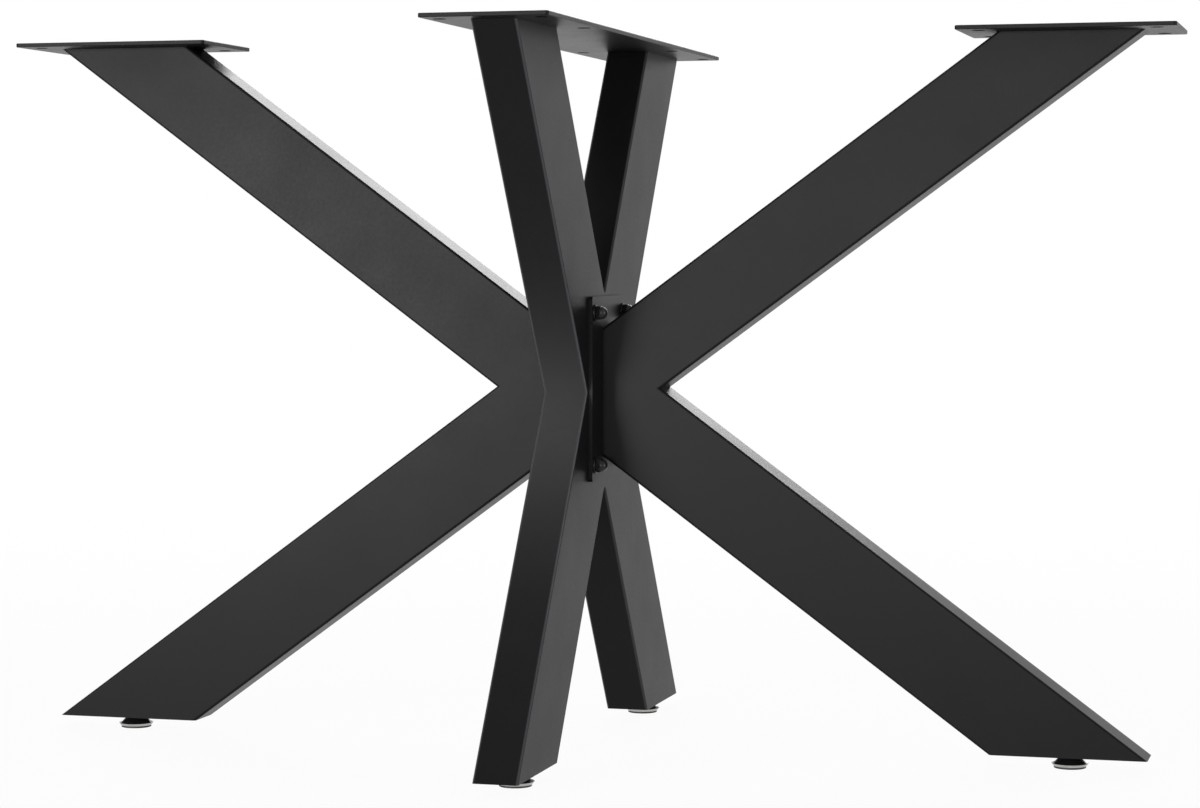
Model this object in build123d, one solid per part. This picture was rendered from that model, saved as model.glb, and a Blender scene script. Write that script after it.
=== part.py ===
from build123d import *
import os
from math import cos, radians, sin, tan

# Table base of black steel tube: an X frame of four legs across the table, with a K frame
# of two arms bolted to its left and right side, and a levelling foot under each lower end.
# Millimetres, +Z up, X along the table, origin on the floor under the centre.

overall_height = 710
foot_height = 12

tube_thickness = 44
tube_wall = 2
tube_corner_radius = 2.5
leg_width = 109
leg_lean = 34.4
upper_arm_width = 82.6
lower_arm_width = 89.4
arm_rise = 36.2
arm_corner_x = 84.3
joint_above_mid = 2.9

plate_thickness = 4
plate_corner_radius = 3
plate_edge_chamfer = 0.5
screw_hole_d = 13
centre_plate_length = 673
centre_plate_width = 122
centre_hole_side_margin = 13
centre_hole_end_margin = 24
centre_hole_row_gap = 141
side_plate_length = 207
side_plate_width = 127
side_hole_margin = 20
side_plate_shift = -1

flange_width = 123
flange_height = 182
bolt_side_margin = 9.5
bolt_end_margin = 16
bolt_d = 8
bolt_hole_d = 9
bolt_head_height = 5.3
bolt_engagement = 8

nut_across_flats = 13
nut_height = 5.5
washer_d = 16
washer_thickness = 1.6
dome_d = 12.4
dome_height = 5.6
dome_wall = 2

closing_thickness = 3
weld_gap = 0.3
running_gap = 0.3

stud_d = 10
stud_hole_d = 11
stud_above_hub = 26
weld_nut_across_flats = 17
weld_nut_height = 8
pad_d = 31
pad_thickness = 1.8
dish_base_d = 32
dish_rim_d = 36
dish_height = 2.8
dish_wall = 0.8
hub_top_d = 17
hub_skirt_height = 1.4
neck_d = 8
rivet_d = 12
rivet_thickness = 0.9

tube_bottom = foot_height
tube_top = overall_height - plate_thickness
mid_height = (tube_bottom + tube_top) / 2
half_rise = (tube_top - tube_bottom) / 2
flange_face = tube_thickness / 2 + plate_thickness
bolt_spacing_y = flange_width - 2 * bolt_side_margin
bolt_spacing_z = flange_height - 2 * bolt_end_margin
leg_end_y = half_rise * tan(radians(leg_lean))
joint_height = mid_height + joint_above_mid
far = 2 * overall_height

os.makedirs("parts", exist_ok=True)


def save(name, *solids):
    """One node, written as a single solid or as a group of identical solids."""
    shape = solids[0] if len(solids) == 1 else Compound(children=list(solids))
    shape.label = name
    export_step(shape, f"parts/{name}.step")


def region(x, y, z):
    """The block between two corner values on each axis."""
    size = [b - a for a, b in (x, y, z)]
    middle = [(a + b) / 2 for a, b in (x, y, z)]
    return Pos(*middle) * Box(*size)


def bar(plane, width, inset, radius):
    """A solid bar through the plane's origin, its section inset from the tube's outside."""
    section = plane * Rectangle(tube_thickness - 2 * inset, width - 2 * inset)
    if radius:
        section = plane * RectangleRounded(tube_thickness - 2 * inset, width - 2 * inset, radius)
    return extrude(section, amount=overall_height, both=True)


def hollow_tube(plane, width):
    """The tube's outside less its bore."""
    outside = bar(plane, width, 0, tube_corner_radius)
    bore = bar(plane, width, tube_wall, tube_corner_radius - tube_wall)
    return outside - bore


def leg_plane(y_side, z_side):
    """Across a leg's centre line, which runs from the middle of the X to one leg end."""
    run = (0, y_side * sin(radians(leg_lean)), z_side * cos(radians(leg_lean)))
    return Plane(origin=(0, 0, mid_height), x_dir=(1, 0, 0), z_dir=run)


def arm_width(z_side):
    return upper_arm_width if z_side > 0 else lower_arm_width


def arm_start_x(z_side):
    """Where an arm's centre line crosses the joint height, back from the inner corner."""
    return arm_corner_x - arm_width(z_side) / 2 / sin(radians(arm_rise))


def arm_end_x(z_side):
    """Where an arm's centre line reaches its level cut at the top plate or above the foot."""
    rise = tube_top - joint_height if z_side > 0 else joint_height - tube_bottom
    return arm_start_x(z_side) + rise / tan(radians(arm_rise))


def arm_plane(x_side, z_side):
    """Across an arm's centre line; both arms of a side meet at the joint height."""
    run = (x_side * cos(radians(arm_rise)), 0, z_side * sin(radians(arm_rise)))
    start = (x_side * arm_start_x(z_side), 0, joint_height)
    return Plane(origin=start, x_dir=(0, 1, 0), z_dir=run)


def span(side, near, reach):
    """The stretch from near to reach on one side of the centre, in rising order."""
    return (near, reach) if side > 0 else (-reach, -near)


def part_of_height(z_side, mitre):
    """From the mitre up to the top plates, or from the closing plates up to the mitre."""
    return (mitre, tube_top) if z_side > 0 else (tube_bottom, mitre)


def at_bolts():
    """The bolt centres in the YZ plane."""
    return [(y * bolt_spacing_y / 2, joint_height + z * bolt_spacing_z / 2)
            for y in (-1, 1) for z in (-1, 1)]


def along_x(start, length, diameter):
    """A round bar along X at every bolt centre."""
    return [Pos(start + length / 2, y, z) * Rot(0, 90, 0) * Cylinder(diameter / 2, length)
            for y, z in at_bolts()]


bolt_holes = along_x(-flange_face, 2 * flange_face, bolt_hole_d)


def top_plate(x_range, y_range, hole_points):
    """A flat plate with rounded corners, lightly chamfered edges and drilled screw holes."""
    blank = region(x_range, y_range, (tube_top, overall_height))
    blank = fillet(blank.edges().filter_by(Axis.Z), plate_corner_radius)
    rims = blank.faces().filter_by(Axis.Z).edges()
    blank = chamfer(rims, plate_edge_chamfer)
    for x, y in hole_points:
        blank -= Pos(x, y, tube_top) * Cylinder(screw_hole_d / 2, 4 * plate_thickness)
    return blank


# X frame: four tubes mitred together at mid-height. The front pair and the rear pair are
# halved on the centre plane, so the four walls close to one waist with a V above and below.
for y_side, y_name in ((-1, "front"), (1, "rear")):
    for z_side, z_name in ((1, "upper"), (-1, "lower")):
        room = region((-far, far), span(y_side, 0, far), part_of_height(z_side, mid_height))
        leg = hollow_tube(leg_plane(y_side, z_side), leg_width) & room
        for hole in bolt_holes:
            leg -= hole
        save(f"{y_name}_{z_name}_leg", leg)

half_width = centre_plate_width / 2
half_length = centre_plate_length / 2
column = half_width - centre_hole_side_margin
outer_row = half_length - centre_hole_end_margin
inner_row = outer_row - centre_hole_row_gap
centre_holes = [(x * column, y * row)
                for x in (-1, 1) for y in (-1, 1) for row in (outer_row, inner_row)]
save("centre_top_plate",
     top_plate((-half_width, half_width), (-half_length, half_length), centre_holes))

# K frames: two tubes, the lower one a little wider, mitred together at the inner corner and
# cut upright at the joint flange, which lies flat on the side of the X frame.
for x_side, x_name in ((-1, "left"), (1, "right")):
    for z_side, z_name in ((1, "upper"), (-1, "lower")):
        room = region(span(x_side, flange_face, far), (-far, far),
                      part_of_height(z_side, joint_height))
        arm = hollow_tube(arm_plane(x_side, z_side), arm_width(z_side)) & room
        save(f"{x_name}_{z_name}_arm", arm)

    plate_middle = arm_end_x(1) + side_plate_shift
    plate_near = plate_middle - side_plate_length / 2
    plate_far = plate_middle + side_plate_length / 2
    hole_xs = (plate_near + side_hole_margin, plate_far - side_hole_margin)
    side_half_width = side_plate_width / 2
    hole_y = side_half_width - side_hole_margin
    side_holes = [(x_side * x, y * hole_y) for x in hole_xs for y in (-1, 1)]
    save(f"{x_name}_top_plate",
         top_plate(span(x_side, plate_near, plate_far), (-side_half_width, side_half_width),
                   side_holes))

    flange = region(span(x_side, tube_thickness / 2, flange_face),
                    (-flange_width / 2, flange_width / 2),
                    (joint_height - flange_height / 2, joint_height + flange_height / 2))
    flange = fillet(flange.edges().filter_by(Axis.X), plate_corner_radius)
    for hole in bolt_holes:
        flange -= hole
    save(f"{x_name}_joint_flange", flange)

# Bolted joint: four hexagon bolts right through both flanges and the X frame, heads on the
# left, cap nuts on the right, and a washer under each.
washer_face = flange_face + washer_thickness
thread_d = bolt_d + 2 * running_gap


def hexagon(across_flats, height):
    """A hexagon on the XY plane with the corners of its far face turned off."""
    corner_r = across_flats / 2 / cos(radians(30))
    crown = height - (corner_r - across_flats / 2)
    outline = Polygon((0, 0), (corner_r, 0), (corner_r, crown),
                      (across_flats / 2, height), (0, height), align=None)
    prism = extrude(RegularPolygon(corner_r, 6), amount=height)
    return prism & revolve(Plane.XZ * outline, axis=Axis.Z)


def hex_bolt():
    """Head seated on the XY plane, shank running down through the joint into the nut."""
    reach = 2 * washer_face + bolt_engagement
    shank = Pos(0, 0, -reach / 2) * Cylinder(bolt_d / 2, reach)
    return hexagon(nut_across_flats, bolt_head_height) + shank


def cap_nut():
    """A hexagon with a domed cap and a blind bore, its seat on the XY plane."""
    dome_r = (dome_d ** 2 / 4 + dome_height ** 2) / (2 * dome_height)
    dome = Pos(0, 0, nut_height + dome_height - dome_r) * Sphere(dome_r)
    dome &= Pos(0, 0, nut_height + dome_height / 2) * Cylinder(dome_d, dome_height)
    blind = nut_height + dome_height - dome_wall
    bore = Pos(0, 0, blind / 2) * Cylinder(thread_d / 2, blind)
    return hexagon(nut_across_flats, nut_height) + dome - bore


def washer():
    ring = Cylinder(washer_d / 2, washer_thickness) - Cylinder(thread_d / 2, washer_thickness)
    return Pos(0, 0, washer_thickness / 2) * ring


def seated(piece, x):
    """The piece at every bolt centre, its seat at x and its axis pointing outward."""
    outward = Rot(0, 90 if x > 0 else -90, 0)
    return [Pos(x, y, z) * outward * piece for y, z in at_bolts()]


save("left_joint_washers", *seated(washer(), -flange_face))
save("right_joint_washers", *seated(washer(), flange_face))
save("joint_bolts", *seated(hex_bolt(), -washer_face))
save("right_cap_nuts", *seated(cap_nut(), washer_face))


def turned(*points):
    """A solid of revolution from radius and height pairs."""
    return revolve(Plane.XZ * Polygon(*points, align=None), axis=Axis.Z)


# Levelling feet, screwed home: floor pad, pressed dish, cone hub and a stud whose lower end
# is riveted through the dish. Each stud runs in a nut welded on the tube's closing plate.
dish_floor = pad_thickness + dish_wall
dish_rim = pad_thickness + dish_height
flare = (dish_rim_d - dish_base_d) / 2 / dish_height
skirt_base_r = dish_base_d / 2 + flare * dish_wall - dish_wall - running_gap
skirt_rim_r = skirt_base_r + flare * hub_skirt_height
neck_hole_r = neck_d / 2 + running_gap
rivet_bottom = pad_thickness - rivet_thickness

pad = turned((0, 0), (pad_d / 2, 0), (pad_d / 2, pad_thickness),
             (rivet_d / 2 + running_gap, pad_thickness),
             (rivet_d / 2 + running_gap, rivet_bottom - running_gap),
             (0, rivet_bottom - running_gap))
dish = turned((neck_hole_r, pad_thickness), (dish_base_d / 2, pad_thickness),
              (dish_rim_d / 2, dish_rim), (dish_rim_d / 2 - dish_wall, dish_rim),
              (dish_base_d / 2 + flare * dish_wall - dish_wall, dish_floor),
              (neck_hole_r, dish_floor))
stud_bore_r = stud_d / 2 + running_gap
hub = turned((stud_bore_r, dish_floor), (skirt_base_r, dish_floor),
             (skirt_rim_r, dish_floor + hub_skirt_height),
             (hub_top_d / 2, foot_height), (stud_bore_r, foot_height))
stud = turned((0, rivet_bottom), (rivet_d / 2, rivet_bottom), (rivet_d / 2, pad_thickness),
              (neck_d / 2, pad_thickness), (neck_d / 2, dish_floor), (stud_d / 2, dish_floor),
              (stud_d / 2, foot_height + stud_above_hub - 1),
              (stud_d / 2 - 1, foot_height + stud_above_hub), (0, foot_height + stud_above_hub))
weld_nut = hexagon(weld_nut_across_flats, weld_nut_height)
weld_nut -= Pos(0, 0, weld_nut_height / 2) * Cylinder(stud_bore_r, weld_nut_height)

foot_places = {
    "front": (0, -leg_end_y, leg_plane(-1, -1), leg_width),
    "rear": (0, leg_end_y, leg_plane(1, -1), leg_width),
    "left": (-arm_end_x(-1), 0, arm_plane(-1, -1), lower_arm_width),
    "right": (arm_end_x(-1), 0, arm_plane(1, -1), lower_arm_width),
}
for name, (x, y, plane, width) in foot_places.items():
    slab = region((-far, far), (-far, far), (tube_bottom, tube_bottom + closing_thickness))
    closing = bar(plane, width, tube_wall + weld_gap, 0) & slab
    closing -= Pos(x, y, tube_bottom) * Cylinder(stud_hole_d / 2, 4 * closing_thickness)
    save(f"{name}_closing_plate", closing)
    save(f"{name}_weld_nut", Pos(x, y, tube_bottom + closing_thickness) * weld_nut)
    save(f"{name}_foot_pad", Pos(x, y, 0) * pad)
    save(f"{name}_foot_dish", Pos(x, y, 0) * dish)
    save(f"{name}_foot_hub", Pos(x, y, 0) * hub)
    save(f"{name}_foot_stud", Pos(x, y, 0) * stud)
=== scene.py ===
import math

import bmesh
import bpy
import numpy as np
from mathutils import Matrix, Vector


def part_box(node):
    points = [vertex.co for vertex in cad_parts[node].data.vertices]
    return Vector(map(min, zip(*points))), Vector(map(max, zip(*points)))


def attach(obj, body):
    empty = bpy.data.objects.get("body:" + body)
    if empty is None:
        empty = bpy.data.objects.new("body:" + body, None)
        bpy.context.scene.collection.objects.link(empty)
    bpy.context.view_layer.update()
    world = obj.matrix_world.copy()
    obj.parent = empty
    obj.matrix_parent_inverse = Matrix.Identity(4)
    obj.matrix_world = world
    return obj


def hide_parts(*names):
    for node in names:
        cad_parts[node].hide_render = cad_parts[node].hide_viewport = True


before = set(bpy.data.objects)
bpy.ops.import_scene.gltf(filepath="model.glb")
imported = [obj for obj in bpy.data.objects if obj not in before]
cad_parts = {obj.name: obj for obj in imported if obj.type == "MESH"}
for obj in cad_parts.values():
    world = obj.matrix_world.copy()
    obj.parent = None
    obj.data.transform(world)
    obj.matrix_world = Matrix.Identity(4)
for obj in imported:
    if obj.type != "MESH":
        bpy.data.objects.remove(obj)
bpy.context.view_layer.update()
scene = bpy.context.scene
MM = 0.001

# X frame: four legs of rectangular steel tube, mitred together at mid-height, welded and ground
# flush, so that each pair bends smoothly at the waist. The whole base is sprayed with black
# polyester powder and baked, which leaves a satin skin of fine pebbles.
LEG_WIDTH = 109 * MM
LEG_LEAN = math.radians(34.4)
TUBE_WALL = 2 * MM
TUBE_CORNER = 2.5 * MM
CORNER_POINTS = 5
TOUCHING = 0.01 * MM
NOTCH_RAMP = 3 * MM  # the height beside the waist in which the inner corners take their rounding
COAT_BLACK = "#0a0a0b"
COAT_GREY = "#121213"
COAT_ROUGHNESS = (0.33, 0.41)
COAT_SPECULAR = 0.085
# painted highlight: the paler grey on tube corners stands in for the light line they reflect
CORNER_HIGHLIGHT_GREY = "#3e3e42"
CORNER_ROUGHNESS = 0.16
PEBBLE_PITCH = 3.2 * MM  # some three times the real pitch, to show the grain at this distance
PEBBLE_DEPTH = 0.3 * MM
PEBBLE_STRENGTH = 0.07
CLOUD_PITCH = 70 * MM
NOISE_LOW, NOISE_HIGH = 0.3, 0.7  # nearly all values of a noise pattern lie between these


def linear(hex_colour):
    """An sRGB hex value as linear RGBA: each channel through the sRGB curve."""
    channel = np.array([int(hex_colour[i:i + 2], 16) for i in (1, 3, 5)]) / 255
    curve = np.where(channel <= 0.04045, channel / 12.92, ((channel + 0.055) / 1.055) ** 2.4)
    return (*curve, 1.0)


def add(tree, kind, sockets=None, **settings):
    """One shader node: settings are its own properties, sockets its values or incoming links.
    Sockets that share a name go by number: a mix node blends its values 2 and 3 or its colours
    6 and 7 by the factor 0."""
    made = tree.nodes.new(kind)
    for name, value in settings.items():
        setattr(made, name, value)
    for name, value in (sockets or {}).items():
        if isinstance(value, bpy.types.NodeSocket):
            tree.links.new(value, made.inputs[name])
        else:
            made.inputs[name].default_value = value
    return made


def new_material(name):
    """An empty material, its node tree and its output node."""
    made = bpy.data.materials.new(name)
    made.use_nodes = True
    made.node_tree.nodes.clear()
    return made, made.node_tree, made.node_tree.nodes.new("ShaderNodeOutputMaterial")


def powder_coat():
    """Baked polyester powder: a pebbled satin film whose tone and gloss drift slowly along the
    tube and flicker from pebble to pebble. The film flows thin and smooth over tube corners,
    which the attribute "corner" marks from 0 to 1; there a paler grey is a painted highlight."""
    material, tree, output = new_material("black_polyester_powder_coat")
    place = add(tree, "ShaderNodeTexCoord").outputs["Object"]
    pebbles = add(tree, "ShaderNodeTexNoise",
                  {"Vector": place, "Scale": 1 / PEBBLE_PITCH, "Detail": 2.0, "Roughness": 0.6})
    clouds = add(tree, "ShaderNodeTexNoise",
                 {"Vector": place, "Scale": 1 / CLOUD_PITCH, "Detail": 3.0, "Roughness": 0.55})
    speckle = add(tree, "ShaderNodeMix",
                  {0: 0.5, 2: pebbles.outputs["Fac"], 3: clouds.outputs["Fac"]})
    colour = add(tree, "ShaderNodeMix",
                 {0: speckle.outputs[0], 6: linear(COAT_BLACK), 7: linear(COAT_GREY)},
                 data_type="RGBA")
    gloss = add(tree, "ShaderNodeMapRange",
                {"Value": speckle.outputs[0], "From Min": NOISE_LOW, "From Max": NOISE_HIGH,
                 "To Min": COAT_ROUGHNESS[0], "To Max": COAT_ROUGHNESS[1]})
    corner = add(tree, "ShaderNodeAttribute", attribute_name="corner").outputs["Fac"]
    # The corners are lifted to a paler grey: a painted highlight.
    corner_highlight = add(tree, "ShaderNodeMix",
               {0: corner, 6: colour.outputs[2], 7: linear(CORNER_HIGHLIGHT_GREY)}, data_type="RGBA")
    smoother = add(tree, "ShaderNodeMix",
                   {0: corner, 2: gloss.outputs["Result"], 3: CORNER_ROUGHNESS})
    relief = add(tree, "ShaderNodeBump",
                 {"Height": pebbles.outputs["Fac"], "Strength": PEBBLE_STRENGTH,
                  "Distance": PEBBLE_DEPTH})
    skin = add(tree, "ShaderNodeBsdfPrincipled",
               {"Base Color": corner_highlight.outputs[2], "Roughness": smoother.outputs[0], "IOR": 1.5,
                "Specular IOR Level": COAT_SPECULAR, "Normal": relief.outputs["Normal"]})
    tree.links.new(skin.outputs["BSDF"], output.inputs["Surface"])
    return material


def dress(material, *nodes):
    """Gives CAD nodes their finish in place of the plain colour they come with."""
    for name in nodes:
        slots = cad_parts[name].data.materials
        slots.clear()
        slots.append(material)


def ring_faces(rows, around, closed):
    """Quads of a grid that wraps round its columns, and round its rows where it is closed."""
    last = rows if closed else rows - 1
    i, j = np.meshgrid(np.arange(last), np.arange(around), indexing="ij")
    i2, j2 = (i + 1) % rows, (j + 1) % around
    quads = np.stack([i * around + j, i * around + j2, i2 * around + j2, i2 * around + j], -1)
    return quads.reshape(-1, 4)


def finish_piece(name, mesh, material, body):
    """A mesh as a piece of the object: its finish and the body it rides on."""
    mesh.materials.append(material)
    piece = bpy.data.objects.new(name, mesh)
    scene.collection.objects.link(piece)
    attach(piece, body)
    return piece


def leg_shell(side, half_x, heights, inset):
    """The rounded rectangle of a leg pair at each height, inset by a wall. The outer edge lies half
    the tube's level width, plus the lean's tangent times the height above or below the waist, away
    from the centre plane; the inner edge lies one level width nearer and stops at that plane.
    Shading turns with the bend: straight out at the waist, the full lean at the tube ends."""
    waist = (heights[0] + heights[-1]) / 2
    away, upward = np.abs(heights - waist), np.sign(heights - waist)
    level = 1 / math.cos(LEG_LEAN)
    outer = math.tan(LEG_LEAN) * away + LEG_WIDTH / 2 * level
    inner = math.tan(LEG_LEAN) * away - LEG_WIDTH / 2 * level
    whole = inner > TOUCHING
    radius = TUBE_CORNER - inset
    quarter = np.linspace(0, np.pi / 2, CORNER_POINTS)
    angle = (quarter + np.arange(4)[:, None] * np.pi / 2).ravel()
    right = np.repeat([1, -1, -1, 1], CORNER_POINTS)
    facing_out = np.repeat([1, 1, 0, 0], CORNER_POINTS)
    x = right * (half_x - inset - radius) + radius * np.cos(angle)
    outer_y = outer[:, None] - (inset + radius * (1 - np.sin(angle))) * level
    inner_y = (np.maximum(inner, 0)[:, None]
               + (inset + whole[:, None] * radius * (1 + np.sin(angle))) * level)
    y = side * np.where(facing_out, outer_y, inner_y)
    points = np.stack([x + 0 * y, y, heights[:, None] + 0 * y], -1)
    bend = np.where(facing_out, (LEG_LEAN * away / away.max())[:, None],
                    (LEG_LEAN * whole)[:, None])
    normals = np.stack([np.cos(angle) + 0 * y, side * np.sin(angle) * np.cos(bend),
                        -upward[:, None] * np.sin(angle) * np.sin(bend)], -1)
    return points, normals


def leg_pair(name, side, *nodes):
    """Both legs of one side in place of their two nodes: the outside from foot to top, then the
    bore from top to foot, joined at the tube ends by flat rims."""
    low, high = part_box(nodes[1])[0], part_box(nodes[0])[1]
    waist, notch = (low.z + high.z) / 2, LEG_WIDTH / 2 / math.sin(LEG_LEAN)
    steps = np.array([-notch - NOTCH_RAMP, -notch, 0, notch, notch + NOTCH_RAMP])
    heights = np.concatenate([[low.z], waist + steps, [high.z]])
    outside, outward = leg_shell(side, high.x, heights, 0)
    bore, inward = leg_shell(side, high.x, heights, TUBE_WALL)
    points = np.concatenate([outside, bore[::-1]])
    normals = np.concatenate([outward, -inward[::-1]])
    rows, around = points.shape[:2]
    quads = ring_faces(rows, around, True)
    corner_normals = normals.reshape(-1, 3)[quads].reshape(rows, around, 4, 3)
    top_rim, foot_rim = len(heights) - 1, rows - 1
    corner_normals[top_rim] = (0, 0, 1)
    corner_normals[foot_rim] = (0, 0, -1)
    corner_normals = corner_normals.reshape(-1, 4, 3)
    if side < 0:
        quads, corner_normals = quads[:, ::-1], corner_normals[:, ::-1]
    mesh = bpy.data.meshes.new(name)
    mesh.from_pydata(points.reshape(-1, 3).tolist(), [], quads.tolist())
    mesh.shade_smooth()
    mesh.normals_split_custom_set(corner_normals.reshape(-1, 3).tolist())
    on_corner = np.tile(np.sin(np.linspace(0, np.pi, CORNER_POINTS)), rows * 4)
    mesh.attributes.new("corner", "FLOAT", "POINT").data.foreach_set("value", on_corner)
    piece = finish_piece(name, mesh, coat, "frame")
    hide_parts(*nodes)


coat = powder_coat()
leg_pair("front_leg_pair", -1, "front_upper_leg", "front_lower_leg")
leg_pair("rear_leg_pair", 1, "rear_upper_leg", "rear_lower_leg")

# Top plates: laser-cut steel with holes for the table top's screws, welded on the tube ends and
# coated with the frame. Thin, nearly black rings just inside the screw holes are painted
# shade, so that the holes read dark.
SCREW_HOLE_R = 6.5 * MM
CENTRE_HOLE_SIDE = 13 * MM
CENTRE_HOLE_END = 24 * MM
CENTRE_ROW_GAP = 141 * MM
SIDE_HOLE_MARGIN = 20 * MM
HOLE_SHADE_GAP = 0.12 * MM  # clears the flat facets of the plate's own holes
HOLE_SHADE_WALL = 0.18 * MM
HOLE_SHADE_SHORT = 0.1 * MM
# painted shade: the near-black of the thin rings inside the screw holes
HOLE_SHADE_BLACK = "#050505"
HOLE_SHADE_GREY = "#0d0d0d"
HOLE_SHADE_GRAIN = 0.4 * MM
GRAIN_DEPTH = 0.1 * MM
AROUND = 96
MERGE_WITHIN = 0.002 * MM


def grained(name, tones, grain, drift, fractal, roughness, relief, surface):
    """A finish with a grain of the given pitch in relief. Its tone and its roughness drift between
    two values each, in clouds as many grains wide as the drift says. Fractal is the noise's detail
    and roughness, and surface holds what else the shader needs."""
    material, tree, output = new_material(name)
    place = add(tree, "ShaderNodeTexCoord").outputs["Object"]
    clouds = add(tree, "ShaderNodeTexNoise",
                 {"Vector": place, "Scale": 1 / (drift * grain), "Detail": fractal[0],
                  "Roughness": fractal[1]})
    grit = add(tree, "ShaderNodeTexNoise",
               {"Vector": place, "Scale": 1 / grain, "Detail": 2.0, "Roughness": fractal[1]})
    colour = add(tree, "ShaderNodeMix",
                 {0: clouds.outputs["Fac"], 6: linear(tones[0]), 7: linear(tones[1])},
                 data_type="RGBA")
    gloss = add(tree, "ShaderNodeMapRange",
                {"Value": clouds.outputs["Fac"], "From Min": NOISE_LOW, "From Max": NOISE_HIGH,
                 "To Min": roughness[0], "To Max": roughness[1]})
    bumps = add(tree, "ShaderNodeBump",
                {"Height": grit.outputs["Fac"], "Strength": relief, "Distance": GRAIN_DEPTH})
    skin = add(tree, "ShaderNodeBsdfPrincipled",
               {"Base Color": colour.outputs[2], "Roughness": gloss.outputs["Result"],
                "Normal": bumps.outputs["Normal"], **surface})
    tree.links.new(skin.outputs["BSDF"], output.inputs["Surface"])
    return material


def make_piece(name, points, faces, material, body, slot, crease=40):
    """A piece from point and face arrays: doubles merged, normals outward, smooth but for
    edges sharper than the crease angle."""
    mesh = bpy.data.meshes.new(name)
    mesh.from_pydata(points.tolist(), [], faces.tolist())
    shell = bmesh.new()
    shell.from_mesh(mesh)
    bmesh.ops.remove_doubles(shell, verts=shell.verts, dist=MERGE_WITHIN)
    bmesh.ops.recalc_face_normals(shell, faces=shell.faces)
    shell.to_mesh(mesh)
    shell.free()
    mesh.shade_smooth()
    mesh.set_sharp_from_angle(angle=math.radians(crease))
    return finish_piece(name, mesh, material, body)


def gather(shapes):
    """Several point and face arrays as one, with the face numbers moved along."""
    starts = np.cumsum([0] + [len(points) for points, _ in shapes[:-1]])
    points = np.concatenate([points for points, _ in shapes])
    faces = np.concatenate([faces + start for (_, faces), start in zip(shapes, starts)])
    return points, faces


def turn(outline):
    """A closed outline of radius and height pairs carried once round the Z axis."""
    angle = np.arange(AROUND) / AROUND * 2 * np.pi
    radius, height = outline[:, :1], outline[:, 1:]
    points = np.stack([radius * np.cos(angle), radius * np.sin(angle),
                       height + 0 * angle], -1)
    return points.reshape(-1, 3), ring_faces(len(outline), AROUND, True)


def hole_shade_rings(name, plate, margins, rows):
    """Painted shade in a plate's screw holes: a thin dark ring just inside each hole, at the given
    margins from the plate's sides and ends, in rows at the given distances in from both ends."""
    low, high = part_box(plate)
    bottom, top = low.z + HOLE_SHADE_SHORT, high.z - HOLE_SHADE_SHORT
    outer_r, inner_r = SCREW_HOLE_R - HOLE_SHADE_GAP, SCREW_HOLE_R - HOLE_SHADE_GAP - HOLE_SHADE_WALL
    ring_points, ring_quads = turn(np.array([(outer_r, bottom), (outer_r, top),
                                             (inner_r, top), (inner_r, bottom)]))
    spots = [(x, y, 0) for x in (low.x + margins[0], high.x - margins[0])
             for row in rows
             for y in (low.y + margins[1] + row, high.y - margins[1] - row)]
    walls = [(ring_points + np.array(spot), ring_quads) for spot in spots]
    make_piece(name, *gather(walls), hole_shade, "frame", "powder_coat", crease=30)


# Painted shade for the screw holes: dull, nearly black and blotchy, with hardly any gloss.
hole_shade = grained("painted_hole_shade", (HOLE_SHADE_BLACK, HOLE_SHADE_GREY), HOLE_SHADE_GRAIN, drift=5,
                fractal=(3.0, 0.5), roughness=(0.8, 0.95), relief=0.3,
                surface={"Specular IOR Level": 0.03})
dress(coat, "centre_top_plate", "left_top_plate", "right_top_plate")
hole_shade_rings("centre_plate_hole_shade_rings", "centre_top_plate", (CENTRE_HOLE_SIDE, CENTRE_HOLE_END),
           (0, CENTRE_ROW_GAP))
for side in ("left", "right"):
    hole_shade_rings(f"{side}_plate_hole_shade_rings", f"{side}_top_plate",
               (SIDE_HOLE_MARGIN, SIDE_HOLE_MARGIN), (0,))

# K frames: two tubes each, mitred at the inner corner and welded to an upright flange that
# bolts to the X frame. Closing plates with weld nuts fill the lower tube ends.
for side in ("left", "right"):
    dress(coat, f"{side}_upper_arm", f"{side}_lower_arm", f"{side}_joint_flange")
for end in ("front", "rear", "left", "right"):
    dress(coat, f"{end}_closing_plate")

# Bolted joint: four M8 hexagon bolts right through the X frame, heads on the left and low domed
# cap nuts on the right, all on washers. The steel is blackened and lightly oiled.
NUT_BLACK = "#151516"
NUT_WORN = "#2b2b2d"
METAL_GRAIN = 0.5 * MM  # coarser than real plating, to show at all
METAL_DRIFT = 12
METAL_FRACTAL = (4.0, 0.6)
NUT_FLATS = 13 * MM
HEXAGON_HEIGHT = 5.5 * MM
NUT_HEIGHT = 11.1 * MM
CAP_THICKNESS = 2 * MM
CHAMFER_SLOPE = 0.6
DOME_R = 6.2 * MM
DOME_STEPS = 20
WASHER_R = 8 * MM
BOLT_HOLE_R = 4.3 * MM
EDGE_R = 0.3 * MM
ARC_SHARE = 0.45  # the most of a side that the arc at one end of it may take


def soften(points, radius, steps=5):
    """A closed outline with every corner rounded: each corner becomes a quadratic arc that
    starts and ends the radius away from it, or nearly half-way along a shorter side."""
    corner = np.array(points, float)
    before, after = np.roll(corner, 1, 0) - corner, np.roll(corner, -1, 0) - corner
    length_before = np.linalg.norm(before, axis=1, keepdims=True)
    length_after = np.linalg.norm(after, axis=1, keepdims=True)
    start = corner + before / length_before * np.minimum(radius, ARC_SHARE * length_before)
    end = corner + after / length_after * np.minimum(radius, ARC_SHARE * length_after)
    t = np.linspace(0, 1, steps)[None, :, None]
    arc = (1 - t) ** 2 * start[:, None] + 2 * t * (1 - t) * corner[:, None] + t ** 2 * end[:, None]
    return arc.reshape(-1, 2)


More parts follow.
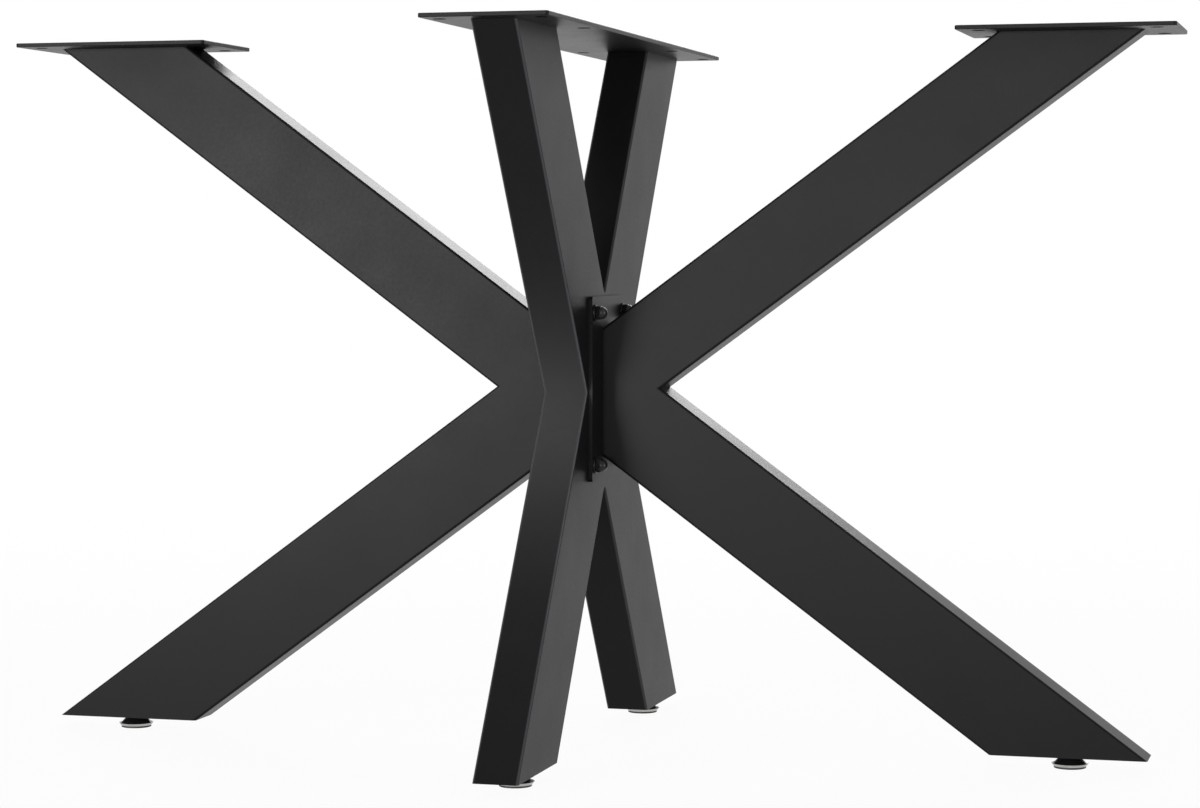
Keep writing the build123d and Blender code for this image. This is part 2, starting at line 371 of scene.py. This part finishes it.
def cap_nut():
    """A cap nut on its seat: at each height and angle the radius is the smaller of a hexagon
    and a turned outline with chamfers and a dome, which is closed by a blind bore."""
    corner_r = NUT_FLATS / 2 / math.cos(math.radians(30))
    chamfer = (corner_r - NUT_FLATS / 2) * CHAMFER_SLOPE
    bore_top = NUT_HEIGHT - CAP_THICKNESS
    dome_height = NUT_HEIGHT - HEXAGON_HEIGHT
    sphere_r = (DOME_R ** 2 + dome_height ** 2) / (2 * dome_height)
    sweep = np.linspace(math.asin((sphere_r - dome_height) / sphere_r), np.pi / 2, DOME_STEPS)
    outline = np.concatenate([
        [(0, bore_top), (BOLT_HOLE_R, bore_top), (BOLT_HOLE_R, 0)],
        [(NUT_FLATS / 2 - EDGE_R, 0), (corner_r, chamfer)],
        [(corner_r, HEXAGON_HEIGHT - chamfer), (NUT_FLATS / 2 - EDGE_R, HEXAGON_HEIGHT)],
        np.stack([sphere_r * np.cos(sweep),
                  NUT_HEIGHT - sphere_r + sphere_r * np.sin(sweep)], -1)])
    angle = np.arange(AROUND) / AROUND * 2 * np.pi
    facet = (angle + np.pi / 6) % (np.pi / 3) - np.pi / 6
    hexagon = NUT_FLATS / 2 / np.cos(facet)
    radius = np.minimum(outline[:, :1], hexagon)
    points = np.stack([radius * np.cos(angle), radius * np.sin(angle),
                       outline[:, 1:] + 0 * angle], -1)
    return points.reshape(-1, 3), ring_faces(len(outline), AROUND, False)


def washer(thickness):
    """A stamped washer: a rectangle with softened edges carried round its hole."""
    return turn(soften([(BOLT_HOLE_R, 0), (WASHER_R, 0), (WASHER_R, thickness),
                        (BOLT_HOLE_R, thickness)], EDGE_R))


def stand_on(shape, seat, along):
    """A shape moved from the Z axis to the seat point, pointing along +X or -X."""
    points, faces = shape
    turned = np.stack([along * points[:, 2], points[:, 1], points[:, 0]], -1)
    return turned + np.array(seat), faces


# Blackened steel: a dark satin skin, worn a little paler in places.
blackened = grained("blackened_steel", (NUT_BLACK, NUT_WORN), METAL_GRAIN, METAL_DRIFT,
                    METAL_FRACTAL, roughness=(0.31, 0.41), relief=0.15,
                    surface={"Metallic": 0.75})
dress(blackened, "joint_bolts")
for side, along in (("left", -1), ("right", 1)):
    low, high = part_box(f"{side}_joint_washers")
    seat_x = low.x if along > 0 else high.x
    spots = [(y, z) for y in (low.y + WASHER_R, high.y - WASHER_R)
             for z in (low.z + WASHER_R, high.z - WASHER_R)]
    ring = washer(high.x - low.x)
    rings = make_piece(f"{side}_black_washers",
                       *gather([stand_on(ring, (seat_x, y, z), along) for y, z in spots]),
                       blackened, "frame", "black_fixings")
    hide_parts(f"{side}_joint_washers")
# The nuts stand over the right washers, whose spots the loop leaves last.
nut_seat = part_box("right_cap_nuts")[0].x
nuts = make_piece("right_domed_nuts",
                  *gather([stand_on(cap_nut(), (nut_seat, y, z), 1) for y, z in spots]),
                  blackened, "frame", "black_fixings", crease=28)
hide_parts("right_cap_nuts")

# Levelling feet: a black plastic pad and a bright nickel-plated dish carry a gloss black cone,
# moulded on a zinc-plated stud that screws into the weld nut inside the tube end.
HUB_BLACK = "#0c0c0d"
HUB_SHEEN = "#141416"
HUB_GRAIN = 0.6 * MM  # like the pad's, coarser than a real mould's grain, to show at all
PAD_BLACK = "#0b0b0b"
PAD_GREY = "#141414"
PAD_GRAIN = 0.5 * MM
PLASTIC_DRIFT = 20
PLASTIC_FRACTAL = (3.0, 0.5)
PLASTIC_IOR = 1.49
NICKEL_DARK = "#8f8d8a"
NICKEL_LIGHT = "#b8b6b3"
ZINC_DARK = "#a4a8ad"
ZINC_LIGHT = "#b9bcc0"
THREAD_PITCH = 1.5 * MM
THREAD_DEPTH = 0.85 * MM
THREAD_STEPS = 8
STUD_R = 5 * MM
NECK_R = 4 * MM
RIVET_R = 6 * MM
PAD_PINHOLE_R = 0.2 * MM
PAD_EDGE_R = 0.5 * MM
DISH_WALL = 0.8 * MM
DISH_FLARE = 2 * MM
DISH_EDGE_R = 0.35 * MM
HUB_SKIRT = 1.4 * MM
HUB_CROWN_R = 8.5 * MM
HUB_BORE_R = 5.3 * MM
HUB_EDGE_R = 0.5 * MM
RUNNING_GAP = 0.3 * MM
SEAT_GAP = 0.1 * MM


def stud(levels, top):
    """A stud on its axis: a turned outline whose shank radius dips with a helix, by a triangle
    wave of the thread's pitch that turns once round for each pitch it climbs."""
    rivet_bottom, neck_bottom, shank_bottom, thread_start = levels
    plain = np.array([(0, rivet_bottom), (RIVET_R - EDGE_R, rivet_bottom),
                      (RIVET_R, rivet_bottom + EDGE_R), (RIVET_R, neck_bottom),
                      (NECK_R, neck_bottom), (NECK_R, shank_bottom), (STUD_R, shank_bottom)])
    height = np.arange(thread_start, top, THREAD_PITCH / THREAD_STEPS)
    runout = np.minimum(1, (height - thread_start) / THREAD_PITCH)
    point = np.clip((top - height) / THREAD_PITCH, 0, 1)
    around = AROUND // 2
    angle = np.arange(around) / around * 2 * np.pi
    phase = (height[:, None] / THREAD_PITCH - angle / (2 * np.pi)) % 1
    groove = THREAD_DEPTH * runout[:, None] * (1 - np.abs(2 * phase - 1))
    threaded = STUD_R - groove - (1 - point[:, None]) * THREAD_DEPTH
    radius = np.concatenate([plain[:, :1] + 0 * angle, threaded, 0 * angle[None]])
    level = np.concatenate([plain[:, 1], height, [top]])[:, None]
    points = np.stack([radius * np.cos(angle), radius * np.sin(angle), level + 0 * angle], -1)
    return points.reshape(-1, 3), ring_faces(len(radius), around, False)


# Nickel plate is nearly a mirror, zinc plate a soft silver. The moulded cone is glossy and the
# pad has the matt grain of its mould.
nickel = grained("nickel_plated_steel", (NICKEL_DARK, NICKEL_LIGHT), METAL_GRAIN, METAL_DRIFT,
                 METAL_FRACTAL, roughness=(0.13, 0.23), relief=0.03, surface={"Metallic": 1.0})
zinc_plate = grained("zinc_plated_steel", (ZINC_DARK, ZINC_LIGHT), METAL_GRAIN, METAL_DRIFT,
                     METAL_FRACTAL, roughness=(0.29, 0.39), relief=0.1, surface={"Metallic": 1.0})
gloss_black = grained("gloss_black_polyamide", (HUB_BLACK, HUB_SHEEN), HUB_GRAIN, PLASTIC_DRIFT,
                      PLASTIC_FRACTAL, roughness=(0.18, 0.26), relief=0.03,
                      surface={"IOR": PLASTIC_IOR})
matt_black = grained("matt_black_polyethylene", (PAD_BLACK, PAD_GREY), PAD_GRAIN, PLASTIC_DRIFT,
                     PLASTIC_FRACTAL, roughness=(0.51, 0.59), relief=0.2,
                     surface={"IOR": PLASTIC_IOR})
for end in ("front", "rear", "left", "right"):
    dress(zinc_plate, f"{end}_weld_nut")
    pad_low, pad_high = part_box(f"{end}_foot_pad")
    dish_low, dish_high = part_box(f"{end}_foot_dish")
    hub_low, hub_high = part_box(f"{end}_foot_hub")
    stud_low, stud_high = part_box(f"{end}_foot_stud")
    axis = np.array([(pad_low.x + pad_high.x) / 2, (pad_low.y + pad_high.y) / 2, 0])
    pad_r, dish_r = (pad_high.x - pad_low.x) / 2, (dish_high.x - dish_low.x) / 2
    base_r, hub_r = dish_r - DISH_FLARE, (hub_high.x - hub_low.x) / 2
    flare = DISH_FLARE / (dish_high.z - dish_low.z)
    skirt_r = hub_r - flare * HUB_SKIRT
    recess_r, recess_floor = RIVET_R + RUNNING_GAP, stud_low.z - RUNNING_GAP
    hub_seat = hub_low.z + SEAT_GAP

    pad_outline = soften([(PAD_PINHOLE_R, 0), (pad_r, 0), (pad_r, pad_high.z),
                          (recess_r, pad_high.z), (recess_r, recess_floor),
                          (PAD_PINHOLE_R, recess_floor)], PAD_EDGE_R)
    dish_outline = soften([(NECK_R + RUNNING_GAP, dish_low.z), (base_r, dish_low.z),
                           (dish_r, dish_high.z), (dish_r - DISH_WALL, dish_high.z),
                           (base_r + flare * DISH_WALL - DISH_WALL, dish_low.z + DISH_WALL),
                           (NECK_R + RUNNING_GAP, dish_low.z + DISH_WALL)], DISH_EDGE_R)
    hub_outline = soften([(HUB_BORE_R, hub_seat), (skirt_r, hub_seat),
                          (hub_r, hub_low.z + HUB_SKIRT), (HUB_CROWN_R, hub_high.z),
                          (HUB_BORE_R, hub_high.z)], HUB_EDGE_R)
    levels = (stud_low.z, dish_low.z - SEAT_GAP, hub_seat, hub_high.z)
    for part, shape, material, body, slot, crease in (
            ("pad", turn(pad_outline), matt_black, "base", "foot_pad", 50),
            ("dish", turn(dish_outline), nickel, "base", "foot_dish", 50),
            ("hub", turn(hub_outline), gloss_black, "screw", "foot_hub", 50),
            ("stud", stud(levels, stud_high.z), zinc_plate, "screw", "zinc_steel", 25)):
        piece = make_piece(f"{end}_foot_{part}_finished", shape[0] + axis, shape[1], material,
                           f"{end}_foot_{body}", slot, crease)
        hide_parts(f"{end}_foot_{part}")

# Stage: a plain pale floor that takes the object's shadow and fades into a white surround. To the
# eye it is nearly clear, so that feet screwed out below the rest level stay in sight.
FLOOR_HALF = 30.0
FADE_START = 1.0
FADE_END = 3.0
CLEAR_SHARE = 0.95
FLOOR_PALE = "#f2f2f2"
SURROUND_WHITE = (1, 1, 1, 1)
SURROUND_LEVEL = 0.32


def seen_directly(tree):
    """1 for rays that show the background: from the camera, a reflection or clear material."""
    path = add(tree, "ShaderNodeLightPath").outputs
    first = add(tree, "ShaderNodeMath", {0: path["Is Camera Ray"], 1: path["Is Glossy Ray"]},
                operation="MAXIMUM")
    return add(tree, "ShaderNodeMath",
               {0: first.outputs[0], 1: path["Is Transmission Ray"]},
               operation="MAXIMUM").outputs[0]


floor_material, tree, output = new_material("white_studio_floor")
paper = add(tree, "ShaderNodeBsdfDiffuse", {"Color": linear(FLOOR_PALE)})
clear = add(tree, "ShaderNodeBsdfTransparent")
place = add(tree, "ShaderNodeTexCoord").outputs["Object"]
reach = add(tree, "ShaderNodeVectorMath", {0: place}, operation="LENGTH").outputs["Value"]
fade = add(tree, "ShaderNodeMapRange",
           {"Value": reach, "From Min": FADE_START, "From Max": FADE_END,
            "To Min": CLEAR_SHARE, "To Max": 1.0}, interpolation_type="SMOOTHSTEP")
share = add(tree, "ShaderNodeMath", {0: seen_directly(tree), 1: fade.outputs["Result"]},
            operation="MULTIPLY")
floor_mix = add(tree, "ShaderNodeMixShader",
                {0: share.outputs[0], 1: paper.outputs["BSDF"], 2: clear.outputs["BSDF"]})
tree.links.new(floor_mix.outputs["Shader"], output.inputs["Surface"])
corners = [(x * FLOOR_HALF, y * FLOOR_HALF, 0) for x, y in ((-1, -1), (1, -1), (1, 1), (-1, 1))]
floor_mesh = bpy.data.meshes.new("studio_floor")
floor_mesh.from_pydata(corners, [], [(0, 1, 2, 3)])
floor_mesh.materials.append(floor_material)
floor = bpy.data.objects.new("studio_floor", floor_mesh)
scene.collection.objects.link(floor)

world = bpy.data.worlds.new("white_surround")
scene.world = world
world.use_nodes = True
tree = world.node_tree
tree.nodes.clear()
shown = add(tree, "ShaderNodeBackground", {"Color": SURROUND_WHITE, "Strength": 1.0})
lighting = add(tree, "ShaderNodeBackground", {"Color": SURROUND_WHITE, "Strength": SURROUND_LEVEL})
surround = add(tree, "ShaderNodeMixShader",
               {0: seen_directly(tree), 1: lighting.outputs[0], 2: shown.outputs[0]})
world_output = tree.nodes.new("ShaderNodeOutputWorld")
tree.links.new(surround.outputs["Shader"], world_output.inputs["Surface"])


# Lamps: two soft boxes in front put the grey sheen on the flat faces, one behind lifts the tops
# of the tubes, and a strip on the right lights the sides of the legs.
def softbox(name, place, aim, width, height, radiance):
    """A rectangular lamp at a place, aimed at a point; its power gives the stated radiance."""
    lamp = bpy.data.lights.new(name, "AREA")
    lamp.shape = "RECTANGLE"
    lamp.size = width
    lamp.size_y = height
    lamp.energy = radiance * math.pi * width * height
    made = bpy.data.objects.new(name, lamp)
    made.location = place
    made.rotation_mode = "QUATERNION"
    made.rotation_quaternion = (Vector(aim) - Vector(place)).to_track_quat("-Z", "Y")
    scene.collection.objects.link(made)


softbox("front_left_box", place=(-2.0, -4.0, 0.5), aim=(-0.2, 0, 0.36),
        width=1.8, height=1.0, radiance=24.0)
softbox("front_right_box", place=(0.1, -4.5, 0.5), aim=(0.4, 0, 0.36),
        width=0.9, height=1.0, radiance=20.0)
softbox("rear_box", place=(-0.8, 3.6, 2.1), aim=(0, 0, 0.5),
        width=3.0, height=2.2, radiance=4.2)
softbox("right_strip", place=(3.2, -1.1, 0.6), aim=(0, 0, 0.4),
        width=1.0, height=1.2, radiance=9.0)

# Camera: a long lens to the right of the front leg, a little below the top plates and tilted
# slightly down.
CAMERA_PLACE = (0.8160, -2.9356, 0.4969)
CAMERA_YAW = 0.26576
CAMERA_PITCH = -0.04998
LENS = 91.44
SENSOR_WIDTH = 36
camera_data = bpy.data.cameras.new("camera")
camera_data.lens = LENS
camera_data.sensor_width = SENSOR_WIDTH
camera = bpy.data.objects.new("camera", camera_data)
camera.location = CAMERA_PLACE
camera.rotation_euler = (math.pi / 2 + CAMERA_PITCH, 0, CAMERA_YAW)
scene.collection.objects.link(camera)
scene.camera = camera
scene.view_settings.view_transform = "Standard"
